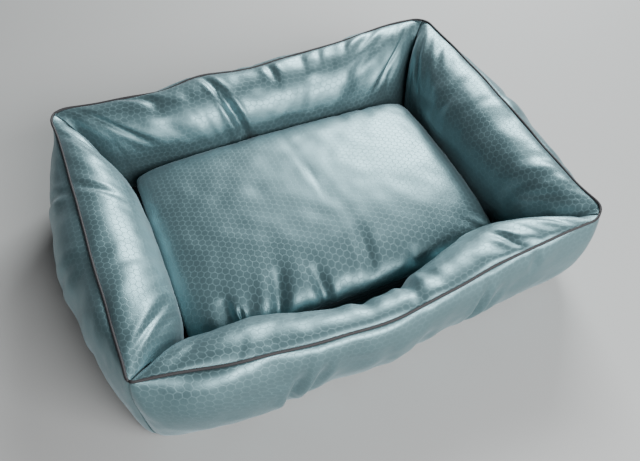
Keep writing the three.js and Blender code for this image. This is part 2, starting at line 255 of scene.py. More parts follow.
class Wall:
    """One wall in its own frame: x along it, y inwards from the line between its corners, z up."""

    def __init__(self, name):
        w = WALLS[name]
        self.name, self.turn, self.at, self.half = name, w["turn"], w["at"], w["half"]
        first, last = (CORNERS[c] for c in w["ends"])
        keys = ("lean", "height", "tuck", "outer", "inner")
        self.profile = {k: (first[i], *w[k], last[i]) for i, k in enumerate(keys)}
        self.ridge_rounding = (first[5] / 1000, last[5] / 1000)
        self.columns = int(round(2 * self.half / CELL))
        self.t = np.linspace(-1, 1, self.columns + 1)

    def value(self, key, t):
        return smooth(self.profile[key], t) / 1000

    def faces(self, t, outer_s, inner_s):
        """Points [inwards, up] of the outer face, from the base seam up to the ridge, and of the inner
        face, from the ridge down to its foot."""
        lean, up, tuck = (self.value(k, t) for k in ("lean", "height", "tuck"))
        zero = np.zeros_like(t)
        ridge = np.stack([-lean, up], 1)
        bottom = np.stack([tuck, zero], 1)
        foot = np.stack([zero + FOOT, zero + FOOT_HEIGHT], 1)
        full_outer = 1 - 0.1 * np.abs(t) ** 8
        full_inner = 1 - 0.35 * np.abs(t) ** 6

        def outer(pull, s):
            low = mix(bottom + (ridge - bottom) / 3, np.stack([-0.84 * pull, 0.05 * up], 1), full_outer)
            high = mix(bottom + (ridge - bottom) * 2 / 3, np.stack([-1.08 * pull, 0.88 * up], 1),
                       full_outer)
            return bezier(bottom, low, high, ridge, s)

        def inner(pull, s):
            high = mix(foot + (ridge - foot) * 2 / 3, np.stack([0.5 * pull, 1.14 * up], 1), full_inner)
            low = mix(foot + (ridge - foot) / 3, np.stack([pull, 0.52 * up], 1), full_inner)
            return bezier(ridge, high, low, foot, s)

        def fitted(face, reach, side, least):
            s = np.linspace(0, 1, 33)
            low, high = zero + least, zero + 0.4
            for _ in range(24):
                middle = (low + high) / 2
                over = (face(middle, s)[:, :, 0] * side).max(1) > reach
                low, high = np.where(over, low, middle), np.where(over, middle, high)
            return low

        outer_pull = fitted(outer, self.value("outer", t), -1, 0.014)
        inner_pull = fitted(inner, self.value("inner", t), 1, 0.055)
        return outer(outer_pull, outer_s), inner(inner_pull, inner_s)

    def rounding(self, t, share):
        """The radius of the corners in plan, at each row of the sheet."""
        ridge = np.where(t < 0, *self.ridge_rounding)[:, None]
        belly = np.clip(4 * share * (1 - share), 0, 1)
        outer = BASE_ROUNDING + (ridge - BASE_ROUNDING) * share + SIDE_ROUNDING * 0.5 * belly
        inner = ridge * np.clip(1 - (share - 1) / 0.3, 0, 1)
        return np.where(share <= 1, outer, inner) + 1e-6

    def place(self, t, section, share):
        """Local points of a section [inwards, up], with its ends in the mitre planes."""
        radius = self.rounding(t, share)
        arc = math.pi / 4 * radius
        edge = self.half - section[..., 0] - MITRE_GAP
        from_end = (1 - np.abs(t))[:, None] * self.half
        angle = math.pi / 4 * np.clip(1 - from_end / arc, 0, 1)
        straight = np.abs(t)[:, None] * (edge - radius) / (1 - arc / self.half)
        curved = edge - radius * (1 - np.sin(angle))
        x = np.sign(t)[:, None] * np.where(from_end < arc, curved, straight)
        inwards = section[..., 0] + radius * (1 - np.cos(angle))
        return np.stack([x, inwards, section[..., 1]], -1)

    def world(self, x):
        c, s = math.cos(self.turn), math.sin(self.turn)
        out = x.copy()
        out[..., 0] = c * x[..., 0] - s * x[..., 1] + self.at[0]
        out[..., 1] = s * x[..., 0] + c * x[..., 1] + self.at[1]
        return out


def even_rows(face, count):
    """Where along a face's curve its rows go so that they are evenly apart at mid wall."""
    s = np.linspace(0, 1, 200)
    points = face(s)
    run = np.concatenate([[0], np.cumsum(np.linalg.norm(np.diff(points, axis=0), axis=1))])
    return np.interp(np.linspace(0, run[-1], count + 1), run, s)


# Folds in the cloth, one list per wall: where along the wall (t), where up the sheet (0 at the base
# seam, 1 at the ridge, 2 at the inner foot), half width in t, half length up the sheet, depth in
# millimetres, and how far it slants in t from its lower to its upper end.
FOLDS = {
    "front": [
        (-0.415, 0.54, 0.024, 0.24, 16, 0.045), (-0.330, 0.58, 0.021, 0.20, 12, 0.040),
        (-0.580, 0.92, 0.010, 0.05, 3, 0.0), (-0.580, 1.07, 0.010, 0.05, 3, 0.0),
        (0.375, 0.56, 0.022, 0.22, 13, 0.020), (0.460, 0.50, 0.034, 0.20, 6, 0.020),
        (-0.060, 0.55, 0.050, 0.26, 4, 0.030), (0.120, 0.52, 0.040, 0.24, 4, 0.020),
        (-0.080, 1.38, 0.040, 0.22, 7, 0.0), (0.130, 1.36, 0.036, 0.24, 10, 0.020),
        (0.220, 1.22, 0.030, 0.14, 3, 0.0), (-0.360, 1.30, 0.016, 0.08, 2, 0.010),
        (0.610, 1.12, 0.020, 0.09, 7, 0.0), (0.655, 0.88, 0.020, 0.09, 7, 0.0),
        (0.720, 1.09, 0.014, 0.08, 3, 0.0), (0.870, 1.10, 0.020, 0.10, 4, 0.0),
    ],
    "back": [
        (0.215, 1.42, 0.022, 0.34, 19, -0.050), (0.140, 1.84, 0.044, 0.20, 24, -0.010),
        (0.370, 1.50, 0.034, 0.24, 5, -0.030), (0.280, 1.62, 0.030, 0.24, 5, -0.040),
        (-0.080, 1.14, 0.022, 0.12, 8, -0.008), (-0.270, 1.10, 0.018, 0.09, 3, 0.0),
        (-0.370, 1.10, 0.018, 0.09, 3, 0.0), (-0.530, 1.10, 0.020, 0.10, 3, 0.0),
        (-0.830, 1.10, 0.014, 0.10, 4, 0.0), (-0.900, 1.12, 0.012, 0.10, 4, 0.0),
        (0.600, 1.16, 0.030, 0.14, 3, 0.0), (0.100, 0.60, 0.050, 0.30, 4, 0.0),
        (-0.500, 0.60, 0.050, 0.30, 4, 0.0), (0.600, 0.55, 0.040, 0.25, 4, 0.0),
    ],
    "left": [
        (-0.270, 1.18, 0.036, 0.14, 5, 0.040), (-0.360, 0.76, 0.040, 0.16, 3, 0.040),
        (0.160, 1.22, 0.040, 0.14, 2, 0.0), (0.340, 1.22, 0.040, 0.14, 2, 0.0),
        (0.150, 0.74, 0.050, 0.20, 3, 0.030), (0.550, 0.45, 0.050, 0.20, 3, 0.0),
    ],
    "right": [
        (0.300, 1.34, 0.060, 0.24, 6, 0.030), (0.050, 1.16, 0.040, 0.12, 2, 0.0),
        (-0.700, 1.30, 0.050, 0.24, 3, 0.0), (0.100, 0.60, 0.060, 0.30, 4, 0.0),
        (-0.550, 0.60, 0.060, 0.25, 4, 0.0),
    ],
}


def fold_field(t, share, folds):
    field = np.zeros((len(t), len(share)))
    for at, up, width, length, depth, slant in folds:
        along = (share[None, :] - up) / length
        across = (t[:, None] - at - slant * along) / width
        ridges = (1 - 0.9 * across ** 2) * np.exp(-across ** 2 / 1.4)
        field += depth / 1000 * ridges * np.exp(-along ** 2)
    return field


def mitre_hollow(wall, section, share):
    """How far the sewn mitres draw the section in towards its middle, beside each corner."""
    from_end = (1 - np.abs(wall.t)) * wall.half
    depth = np.where(share > 1, MITRE_HOLLOW, SIDE_HOLLOW) * np.sin(math.pi * (share % 1)) ** 0.7
    towards = section.mean(1, keepdims=True) - section
    towards /= np.linalg.norm(towards, axis=2, keepdims=True)
    return towards * (bump(from_end, 0, MITRE_REACH)[:, None] * depth[None, :])[..., None]


def settled_wall(wall):
    """The wall's cloth as one grid: columns along it, rows from the base seam over the ridge."""
    middle = np.zeros(1)
    outer_s = even_rows(lambda s: wall.faces(middle, s, s)[0][0], OUTER_ROWS)
    inner_s = even_rows(lambda s: wall.faces(middle, s, s)[1][0], INNER_ROWS)
    outer, inner = wall.faces(wall.t, outer_s, inner_s)
    share = np.concatenate([np.linspace(0, 1, OUTER_ROWS + 1), np.linspace(1, 2, INNER_ROWS + 1)[1:]])
    section = np.concatenate([outer, inner[:, 1:]], 1)
    waver = np.stack([noise((len(wall.t),), (50,)) * 0.0009, noise((len(wall.t),), (50,)) * 0.0007], 1)
    waver *= np.clip((1 - np.abs(wall.t)) / 0.1, 0, 1)[:, None]
    section += waver[:, None] * bump(share, 1, 0.25)[None, :, None]
    section += mitre_hollow(wall, section, share)
    smooth_shape = wall.place(wall.t, section, share)
    n, m = smooth_shape.shape[:2]

    free = np.ones((n, m))
    free[0] = free[-1] = 0
    free[:, 0] = free[:, -1] = 0
    free[:, OUTER_ROWS] = 0
    fade = (np.minimum(1, (1 - np.abs(wall.t)) / 0.06)[:, None] * free)[..., None]
    n0 = normals(smooth_shape)
    held = np.minimum(1, np.abs(share - 1) / 0.06) * np.minimum(1, share / 0.08)
    slack = (noise((n, m), (40, 110)) * 0.0016 + noise((n, m), (14, 60)) * 0.0007) * held
    dents = fold_field(wall.t, share, FOLDS[wall.name]) * held
    x = smooth_shape + n0 * (slack - dents)[..., None] * fade

    near_ridge = bump(share, 1.0, 0.16)
    near_base = bump(share, 0.0, 0.16)
    near_foot = bump(share, 2.0, 0.3)
    uneven = np.clip(1 + 0.8 * noise((n - 1, m), (10, 20)), 0, 2.5)
    extra_u = 0.002 + uneven * (0.003 * near_ridge + 0.010 * near_base + 0.004 * near_foot)
    extra_v = np.full((n, m - 1), 0.002)

    ripple = noise((n, m), (4, 24)) * 0.0005 * (near_ridge + near_base + near_foot)
    cloth = Cloth(x, extra_u, extra_v, free, 1)
    cloth.x = x + n0 * ripple[..., None] * fade
    limit_inner = wall.value("inner", wall.t)[:, None] + 0.0008

    def limit(p):
        # The mitre planes, the floor, the pillow's space, and the ridge kept still.
        reach = wall.half - MITRE_GAP
        bound = reach - p[..., 1]
        np.clip(p[..., 0], -bound, bound, out=p[..., 0])
        p[..., 1] = np.minimum(p[..., 1], limit_inner)
        p[..., 2] = np.maximum(p[..., 2], np.where(p[..., 1] > -0.002, BASE_CLOTH + 0.0003, 0.0003))
        p[:, OUTER_ROWS] = x[:, OUTER_ROWS]
        p[:, 0] = x[:, 0]

    near_end = bump(1 - np.abs(wall.t), 0, 0.16)[:, None, None]
    cloth.settle(steps=200, pressure=0.00012, back=0.035 + 0.05 * near_end, stiffness=0.30,
                 limit=limit)
    moved = cloth.x - smooth_shape
    ends = bump(1 - np.abs(wall.t), 0, 0.22)[:, None, None] * free[..., None]
    even = blurred(moved, (1, 1, 0)) * free[..., None]
    moved = even + (blurred(moved, (10, 10, 0)) - even) * ends
    moved += n0 * (noise((n, m), (4, 4)) * 0.00032)[..., None] * fade * held[None, :, None]
    settled = smooth_shape + moved
    limit(settled)
    uv = np.zeros((n, m, 2))
    run_u = np.concatenate([np.zeros((1, m)), np.cumsum(cloth.rest_u, 0)])
    uv[..., 0] = run_u - run_u[n // 2]
    run = np.concatenate([np.zeros((n, 1)), np.cumsum(cloth.rest_v, 1)], 1)
    uv[..., 1] = run - run[:, OUTER_ROWS:OUTER_ROWS + 1]
    return settled, uv


# ---- Meshes -------------------------------------------------------------------------------------

def mesh_object(name, verts, faces, uv=None):
    mesh = bpy.data.meshes.new(name)
    mesh.from_pydata([tuple(v) for v in verts], [], faces)
    mesh.validate()
    if uv is not None:
        layer = mesh.uv_layers.new(name="cloth")
        index = np.zeros(len(mesh.loops), int)
        mesh.loops.foreach_get("vertex_index", index)
        layer.data.foreach_set("uv", np.asarray(uv)[index].astype(np.float32).ravel())
    mesh.shade_smooth()
    obj = bpy.data.objects.new(name, mesh)
    bpy.context.scene.collection.objects.link(obj)
    return obj


def grid_faces(n, m, start=0, flip=False):
    i = np.arange(n - 1)[:, None] * m + np.arange(m - 1)[None, :] + start
    quads = np.stack([i, i + m, i + m + 1, i + 1], -1).reshape(-1, 4)
    return (quads[:, ::-1] if flip else quads).tolist()


def doubled(x):
    """The grid with a new line of points between every two, on smooth curves, along both axes."""
    for axis in (0, 1):
        n = x.shape[axis]
        lines = x.take(range(n), axis)
        first = 2 * lines.take([0], axis) - lines.take([1], axis)
        last = 2 * lines.take([n - 1], axis) - lines.take([n - 2], axis)
        p = np.concatenate([first, lines, last], axis)
        between = (9 * (p.take(range(1, n), axis) + p.take(range(2, n + 1), axis))
                   - p.take(range(0, n - 1), axis) - p.take(range(3, n + 2), axis)) / 16
        shape = list(x.shape)
        shape[axis] = 2 * n - 1
        out = np.zeros(shape)
        if axis == 0:
            out[0::2], out[1::2] = lines, between
        else:
            out[:, 0::2], out[:, 1::2] = lines, between
        x = out
    return x


def border(n, m):
    """The indices round the edge of an n by m grid, in order."""
    top = [(i, 0) for i in range(n)]
    right = [(n - 1, j) for j in range(1, m)]
    bottom = [(i, m - 1) for i in range(n - 2, -1, -1)]
    left = [(0, j) for j in range(m - 2, 0, -1)]
    return [i * m + j for i, j in top + right + bottom + left]


def cloth_object(name, x, uv, thickness=0.0009):
    """A closed sheet: its outside at double the grid's fineness, and its plain inside."""
    n, m = x.shape[:2]
    fine, fine_uv = doubled(x), doubled(uv)
    inside = x - normals(x) * thickness
    start = fine.shape[0] * fine.shape[1]
    faces = grid_faces(*fine.shape[:2]) + grid_faces(n, m, start, flip=True)
    smooth_count = len(faces)
    outer_edge, inner_edge = border(*fine.shape[:2]), [start + k for k in border(n, m)]
    count = len(inner_edge)
    for k in range(count):
        a, b, c = (outer_edge[(2 * k + i) % len(outer_edge)] for i in range(3))
        faces.append((c, b, a, inner_edge[k], inner_edge[(k + 1) % count]))
    verts = np.concatenate([fine.reshape(-1, 3), inside.reshape(-1, 3)])
    all_uv = np.concatenate([fine_uv.reshape(-1, 2), uv.reshape(-1, 2)])
    obj = mesh_object(name, verts, faces, all_uv)
    rim = np.arange(len(faces)) < smooth_count
    obj.data.polygons.foreach_set("use_smooth", rim)
    return obj


def ring_faces(rings, sides):
    """The faces between closed rings of points that follow one another."""
    return [(i * sides + j, (i + 1) * sides + j, (i + 1) * sides + (j + 1) % sides,
             i * sides + (j + 1) % sides) for i in range(rings - 1) for j in range(sides)]


def padding_object(name, x, shrink=0.86, lumps=0.0015):
    """Fibre filling: a section ring for every column of `x`, drawn in about its own middle."""
    x = blurred(x, (1, 1, 0))[2:-2:2, ::2]
    middle = x.mean(1, keepdims=True)
    x = middle + (x - middle) * shrink
    n, m = x.shape[:2]
    x = x + (x - middle) / np.linalg.norm(x - middle, axis=2, keepdims=True) * (
        noise((n, m), (2, 2)) * lumps)[..., None]
    faces = ring_faces(n, m)
    ends = [x[0].mean(0), x[-1].mean(0)]
    verts = np.concatenate([x.reshape(-1, 3), ends])
    for j in range(m):
        k = (j + 1) % m
        faces.append((n * m, j, k))
        faces.append((n * m + 1, (n - 1) * m + k, (n - 1) * m + j))
    obj = mesh_object(name, verts, faces)
    fine = obj.modifiers.new("fine", "SUBSURF")
    fine.levels = fine.render_levels = 1
    return obj


def tube(name, path, radius, sides):
    """A closed tube along a level line of points, with the cloth's coordinates on it."""
    path = np.asarray(path)
    ahead = np.gradient(path, axis=0)
    ahead /= np.linalg.norm(ahead, axis=1, keepdims=True)
    up = np.array([0, 0, 1.0])
    out = np.cross(ahead, up)
    out /= np.linalg.norm(out, axis=1, keepdims=True)
    up = np.cross(out, ahead)
    angle = np.linspace(0, 2 * math.pi, sides, endpoint=False)
    ring = np.cos(angle)[None, :, None] * out[:, None] + np.sin(angle)[None, :, None] * up[:, None]
    radius = np.broadcast_to(radius, (len(path),))
    verts = path[:, None] + ring * radius[:, None, None]
    n = len(path)
    faces = ring_faces(n, sides)
    faces += [tuple(range(sides)), tuple(reversed(range((n - 1) * sides, n * sides)))]
    run = np.concatenate([[0], np.cumsum(np.linalg.norm(np.diff(path, axis=0), axis=1))])
    uv = np.stack(np.broadcast_arrays(run[:, None], angle[None, :] * radius[:, None]), -1)
    return mesh_object(name, verts.reshape(-1, 3), faces, uv.reshape(-1, 2))


# ---- Materials ----------------------------------------------------------------------------------

def node(tree, kind, **settings):
    n = tree.nodes.new(kind)
    for key, value in settings.items():
        setattr(n, key, value)
    return n


def math_node(tree, operation, *inputs):
    n = node(tree, "ShaderNodeMath", operation=operation)
    for socket, value in zip(n.inputs, inputs):
        if isinstance(value, (int, float)):
            socket.default_value = value
        else:
            tree.links.new(value, socket)
    return n.outputs[0]


def vector_node(tree, operation, *inputs):
    n = node(tree, "ShaderNodeVectorMath", operation=operation)
    for socket, value in zip(n.inputs, inputs):
        if isinstance(value, tuple):
            socket.default_value = value
        else:
            tree.links.new(value, socket)
    return n.outputs[1] if operation in ("LENGTH", "DOT_PRODUCT") else n.outputs[0]


def new_material(name):
    material = bpy.data.materials.new(name)
    material.use_nodes = True
    tree = material.node_tree
    shader = tree.nodes["Principled BSDF"]
    return material, tree, shader


def hexagons(tree, uv, size):
    """Distance from the nearest outline of a honeycomb, 0 on the line and 0.5 at a cell's middle."""
    p = vector_node(tree, "MULTIPLY", uv, (1 / size, 1 / size, 0))
    s = (1.0, math.sqrt(3), 1.0)
    half = (0.5, math.sqrt(3) / 2, 0.0)

    def cell(q):
        wrapped = vector_node(tree, "MODULO", vector_node(tree, "ADD", q, (1000.0, 1000 * s[1], 0.0)), s)
        return vector_node(tree, "SUBTRACT", wrapped, half)

    a = cell(p)
    b = cell(vector_node(tree, "SUBTRACT", p, half))
    nearer = math_node(tree, "LESS_THAN", vector_node(tree, "LENGTH", a), vector_node(tree, "LENGTH", b))
    mixer = node(tree, "ShaderNodeMix", data_type="VECTOR")
    tree.links.new(nearer, mixer.inputs["Factor"])
    tree.links.new(b, mixer.inputs[4])
    tree.links.new(a, mixer.inputs[5])
    q = vector_node(tree, "ABSOLUTE", mixer.outputs[1])
    slanted = vector_node(tree, "DOT_PRODUCT", q, (0.5, math.sqrt(3) / 2, 0.0))
    split = node(tree, "ShaderNodeSeparateXYZ")
    tree.links.new(q, split.inputs[0])
    return math_node(tree, "SUBTRACT", 0.5, math_node(tree, "MAXIMUM", slanted, split.outputs[0]))


def satin_material(name="satin_jacquard"):
    """Satin with a woven honeycomb: outlines of a paler, rougher weave on a softly glossy ground."""
    material, tree, shader = new_material(name)
    uv = node(tree, "ShaderNodeUVMap", uv_map="cloth").outputs[0]
    edge = hexagons(tree, uv, HEXAGON)
    line = node(tree, "ShaderNodeMapRange", interpolation_type="SMOOTHSTEP")
    tree.links.new(edge, line.inputs[0])
    line.inputs[1].default_value, line.inputs[2].default_value = 0.026, 0.066
    line.inputs[3].default_value, line.inputs[4].default_value = 1.0, 0.0
    outline = line.outputs[0]

    cloud = node(tree, "ShaderNodeTexNoise")
    cloud.inputs["Scale"].default_value = 14
    cloud.inputs["Detail"].default_value = 3
    tree.links.new(uv, cloud.inputs["Vector"])

    tint = node(tree, "ShaderNodeMix", data_type="RGBA")
    tree.links.new(cloud.outputs[0], tint.inputs["Factor"])
    tint.inputs[6].default_value = (0.126, 0.212, 0.230, 1)
    tint.inputs[7].default_value = (0.158, 0.258, 0.277, 1)
    colour = node(tree, "ShaderNodeMix", data_type="RGBA")
    tree.links.new(outline, colour.inputs["Factor"])
    tree.links.new(tint.outputs[2], colour.inputs[6])
    colour.inputs[7].default_value = (0.182, 0.290, 0.309, 1)
    tree.links.new(colour.outputs[2], shader.inputs["Base Color"])

    rough = node(tree, "ShaderNodeMapRange")
    tree.links.new(outline, rough.inputs[0])
    rough.inputs[3].default_value, rough.inputs[4].default_value = 0.42, 0.60
    tree.links.new(rough.outputs[0], shader.inputs["Roughness"])
    shader.inputs["Metallic"].default_value = 0.78
    shader.inputs["Sheen Weight"].default_value = 0.25
    shader.inputs["Sheen Roughness"].default_value = 0.4
    shader.inputs["Sheen Tint"].default_value = (0.75, 0.92, 1.0, 1)

    # Fine warp threads and the slightly sunk outlines.
    threads = node(tree, "ShaderNodeTexWave", wave_type="BANDS", bands_direction="X")
    threads.inputs["Scale"].default_value = 420
    threads.inputs["Distortion"].default_value = 1.2
    tree.links.new(uv, threads.inputs["Vector"])
    height = math_node(tree, "ADD", math_node(tree, "MULTIPLY", threads.outputs[1], 0.25),
                       math_node(tree, "MULTIPLY", outline, -0.8))
    relief = node(tree, "ShaderNodeBump")
    relief.inputs["Strength"].default_value = 0.35
    relief.inputs["Distance"].default_value = 0.0002
    tree.links.new(height, relief.inputs["Height"])
    tree.links.new(relief.outputs[0], shader.inputs["Normal"])
    return material


def plain_material(name, colour, roughness, darker=0.7, scale=900, metallic=0.0, distance=0.0002):
    """Cloth, fibre or metal with a fine grain."""
    material, tree, shader = new_material(name)
    uv = node(tree, "ShaderNodeTexCoord").outputs["Object"]
    grain = node(tree, "ShaderNodeTexNoise")
    grain.inputs["Scale"].default_value = scale
    grain.inputs["Detail"].default_value = 4
    tree.links.new(uv, grain.inputs["Vector"])
    tint = node(tree, "ShaderNodeMix", data_type="RGBA")
    tree.links.new(grain.outputs[0], tint.inputs["Factor"])
    tint.inputs[6].default_value = (*[c * darker for c in colour], 1)
    tint.inputs[7].default_value = (*colour, 1)
    tree.links.new(tint.outputs[2], shader.inputs["Base Color"])
    shader.inputs["Roughness"].default_value = roughness
    shader.inputs["Metallic"].default_value = metallic
    relief = node(tree, "ShaderNodeBump")
    relief.inputs["Strength"].default_value = 0.5
    relief.inputs["Distance"].default_value = distance
    tree.links.new(grain.outputs[0], relief.inputs["Height"])
    tree.links.new(relief.outputs[0], shader.inputs["Normal"])
    return material


def give(obj, material):
    obj.data.materials.clear()
    obj.data.materials.append(material)
    return obj


SATIN = satin_material()
THREAD = plain_material("sewing_thread", (0.075, 0.070, 0.073), 0.55)
PIPING = plain_material("piping_cloth", (0.022, 0.019, 0.021), 0.65)
FIBRE = plain_material("polyester_fibre", (0.86, 0.86, 0.83), 0.95, 0.85, 160)
GRIP = plain_material("base_cloth", (0.035, 0.04, 0.044), 0.9)
TAPE = plain_material("zip_tape", (0.05, 0.06, 0.065), 0.8)
COIL = plain_material("zip_coil", (0.06, 0.075, 0.08), 0.4)
METAL = plain_material("zip_metal", (0.5, 0.5, 0.52), 0.35, 0.85, 300, 1.0, 0.00002)

# ---- Tubes and stitches -------------------------------------------------------------------------


def joined(name, parts):
    """One object of several (vertices, faces) parts."""
    verts, faces = [], []
    for v, f in parts:
        start = sum(len(p) for p in verts)
        verts.append(np.asarray(v, float).reshape(-1, 3))
        faces += [tuple(start + k for k in face) for face in f]
    return mesh_object(name, np.concatenate(verts), faces)


def tube_parts(path, radius, sides=6):
    """A closed tube along a line of points, as (vertices, faces)."""
    path = np.asarray(path, float)
    ahead = np.gradient(path, axis=0)
    ahead /= np.linalg.norm(ahead, axis=1, keepdims=True)
    across = np.zeros_like(ahead)
    guide = np.array([0, 0, 1.0]) if abs(ahead[0, 2]) < 0.9 else np.array([1.0, 0, 0])
    for i, a in enumerate(ahead):
        guide = guide - a * guide.dot(a)
        guide /= np.linalg.norm(guide)
        across[i] = guide
    other = np.cross(ahead, across)
    angle = np.linspace(0, 2 * math.pi, sides, endpoint=False)
    ring = np.cos(angle)[None, :, None] * across[:, None] + np.sin(angle)[None, :, None] * other[:, None]
    radius = np.broadcast_to(radius, (len(path),))
    verts = (path[:, None] + ring * radius[:, None, None]).reshape(-1, 3)
    n = len(path)
    faces = [(i * sides + j, i * sides + (j + 1) % sides, (i + 1) * sides + (j + 1) % sides,
              (i + 1) * sides + j) for i in range(n - 1) for j in range(sides)]
    faces += [tuple(reversed(range(sides))), tuple(range((n - 1) * sides, n * sides))]
    return verts, faces


def even_points(path, step):
    """Points evenly spaced along a line of points."""
    run = np.concatenate([[0], np.cumsum(np.linalg.norm(np.diff(path, axis=0), axis=1))])
    at = np.linspace(0, run[-1], int(round(run[-1] / step)) + 1)
    return np.stack([np.interp(at, run, path[:, k]) for k in range(3)], 1)


def stitch(a, b, out, thread=0.00035, rise=0.0004):
    """One stitch from a to b, standing up a little in the middle."""
    s = np.array([0, 0.2, 0.5, 0.8, 1])[:, None]
    line = a + (b - a) * s + out * (rise * np.array([-1, 0.5, 1, 0.5, -1])[:, None])
    return tube_parts(line, thread * np.array([0.7, 1, 1, 1, 0.7]), 5)


# ---- The walls' pieces --------------------------------------------------------------------------

PIPING_RADIUS = 0.0019
PIPING_RISE = 0.0013  # of its middle over the ridge
STITCH_STEP = 0.0034


def piping_object(name, ridge, inner_side):
    """The piping: a round cord in its cloth, with the seam's stitches along its inner flank."""
    path = even_points(ridge + np.array([0, 0, PIPING_RISE]), 0.004)
    cord = tube(name, path, PIPING_RADIUS, 14)
    rows = even_points(path, STITCH_STEP)
    rows = rows + inner_side * (PIPING_RADIUS * 0.92) + np.array([0, 0, -0.0007])
    out = inner_side + np.array([0, 0, 0.3])
    stitches = joined(name + "_thread", [
        stitch(a + (b - a) * 0.16, a + (b - a) * 0.84, out) for a, b in zip(rows[1:-2], rows[2:-1])])
    return cord, stitches


def add_wall(name):
    wall = Wall(name)
    x, uv = settled_wall(wall)
    x = wall.world(x)
    outer = cloth_object(name + "_outer_cloth", x[:, :OUTER_ROWS + 1], uv[:, :OUTER_ROWS + 1])
    inner = cloth_object(name + "_inner_cloth", x[:, OUTER_ROWS:], uv[:, OUTER_ROWS:])
    for obj, node_name in ((outer, "outer_panel"), (inner, "inner_panel")):
        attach(give(obj, SATIN), "bed")
        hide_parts(f"{name}_{node_name}")
    fibre = padding_object(name + "_fibre", x)
    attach(give(fibre, FIBRE), "bed")
    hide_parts(name + "_filling")

    inwards = wall.world(np.array([[0, 1.0, 0]]))[0] - wall.world(np.zeros((1, 3)))[0]
    cord, thread = piping_object(name + "_piping_cord", x[:, OUTER_ROWS], inwards)
    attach(give(cord, PIPING), "bed")
    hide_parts(name + "_piping")
    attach(give(thread, THREAD), "bed")
    return x


walls = {name: add_wall(name) for name in WALLS}

# ---- The base cloth -----------------------------------------------------------------------------


def base_outline():
    """The seam where the walls' outer faces are sewn to the base cloth, as one closed line."""
    line = np.concatenate([walls[name][1:-1, 0] for name in ("front", "right", "back", "left")])
    return line[:, :2]


def add_base():
    """The cloth under the bed: flat where it lies, with its puckered edge turned into the seam."""
    line = base_outline()
    count = len(line)
    middle = line.mean(0)
    rings = [1.0, 0.992, 0.982, 0.97, 0.94, 0.88, 0.8, 0.65, 0.5, 0.35, 0.2, 0.08]
    ripple = noise((count,), (3,))
    verts, faces = [], []
    for side, level in ((1, BASE_CLOTH), (-1, 0.0)):
        start = len(verts)
        for r in rings:
            edge = max(0, (r - 0.96) / 0.04)
            z = level + (0.0004 * ripple * edge if side < 0 else -0.0003 * edge)
            z = np.maximum(z, 0.0001 if side < 0 else 0.0006) + np.zeros(count)
            verts += [(*(middle + (p - middle) * (r * 0.997)), h) for p, h in zip(line, z)]
        verts.append((*middle, level + (0.0001 if side < 0 else 0)))
        for i in range(len(rings) - 1):
            for j in range(count):
                k = (j + 1) % count
                quad = [start + i * count + j, start + i * count + k,
                        start + (i + 1) * count + k, start + (i + 1) * count + j]
                faces.append(quad if side > 0 else quad[::-1])
        last = start + (len(rings) - 1) * count
        for j in range(count):
            k = (j + 1) % count
            fan = [last + j, last + k, start + len(rings) * count]
            faces.append(fan if side > 0 else fan[::-1])
    lower = len(rings) * count + 1
    for j in range(count):
        k = (j + 1) % count
        faces.append((k, j, lower + j, lower + k))
    base = mesh_object("base_cloth_sheet", verts, faces)
    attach(give(base, GRIP), "bed")
    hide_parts("base_panel")


add_base()

# ---- The pillow ---------------------------------------------------------------------------------

CUSHION_COLUMNS, CUSHION_ROWS = 92, 66
CUSHION_FLAT = (0.516, 0.376)
ZIP_TOP = 0.038
FRONT_ROLL = 0.018  # how far the top may roll out over the zip
ROLL_REACH = 0.26  # along the pillow to where that roll ends
SEAM_INSET = 0.001  # of the pillow's seam within its greatest reach
PULL_IN = 0.001  # of its short sides, towards their middles
# The cloth is held back behind the zip's tapes: how far along and how far up from the zip's middle,
# each with the length over which it fades, and how deep.
ZIP_REACH, ZIP_FADE = 0.172, 0.008
TAPES_REACH, TAPES_FADE = 0.0135, 0.003
TAPES_DEPTH = 0.0014
UPPER_TAPE_BACK = -0.1757  # where the cloth lies flat behind the upper tape
UPPER_TAPE_ROWS = ((1, 0.0318), (2, 0.0372))  # the rows of cloth there, and their heights

# Creases in the pillow's top: from and to, in metres, half width and depth in millimetres.
CREASES = [
    ((0.004, 0.140), (0.008, 0.066), 10, 0.9),
    ((0.008, 0.068), (0.018, -0.042), 6, 1.0),
    ((0.012, 0.060), (0.046, -0.120), 12, 1.0),
    ((0.040, -0.100), (0.034, -0.172), 11, 5.0),
    ((-0.188, -0.178), (-0.186, -0.128), 16, 5.0),
    ((-0.112, -0.182), (-0.096, -0.112), 15, 8.0),
    ((-0.036, -0.184), (-0.050, -0.124), 12, 8.0),
    ((0.000, -0.184), (-0.010, -0.158), 12, 3.0),
    ((0.100, -0.182), (0.108, -0.140), 13, 4.0),
    ((0.236, -0.152), (0.196, -0.122), 11, 6.0),
    ((0.120, 0.172), (0.116, 0.130), 10, 1.8),
    ((0.165, 0.172), (0.163, 0.125), 10, 1.8),
]


def swell(u, power):
    """The filling's height over the seam; a lower power falls off earlier towards the edge."""
    return (1 - np.minimum(np.abs(u), 1) ** power) ** (1 / 2.6) * (0.78 + 0.22 * (1 - u ** 2))


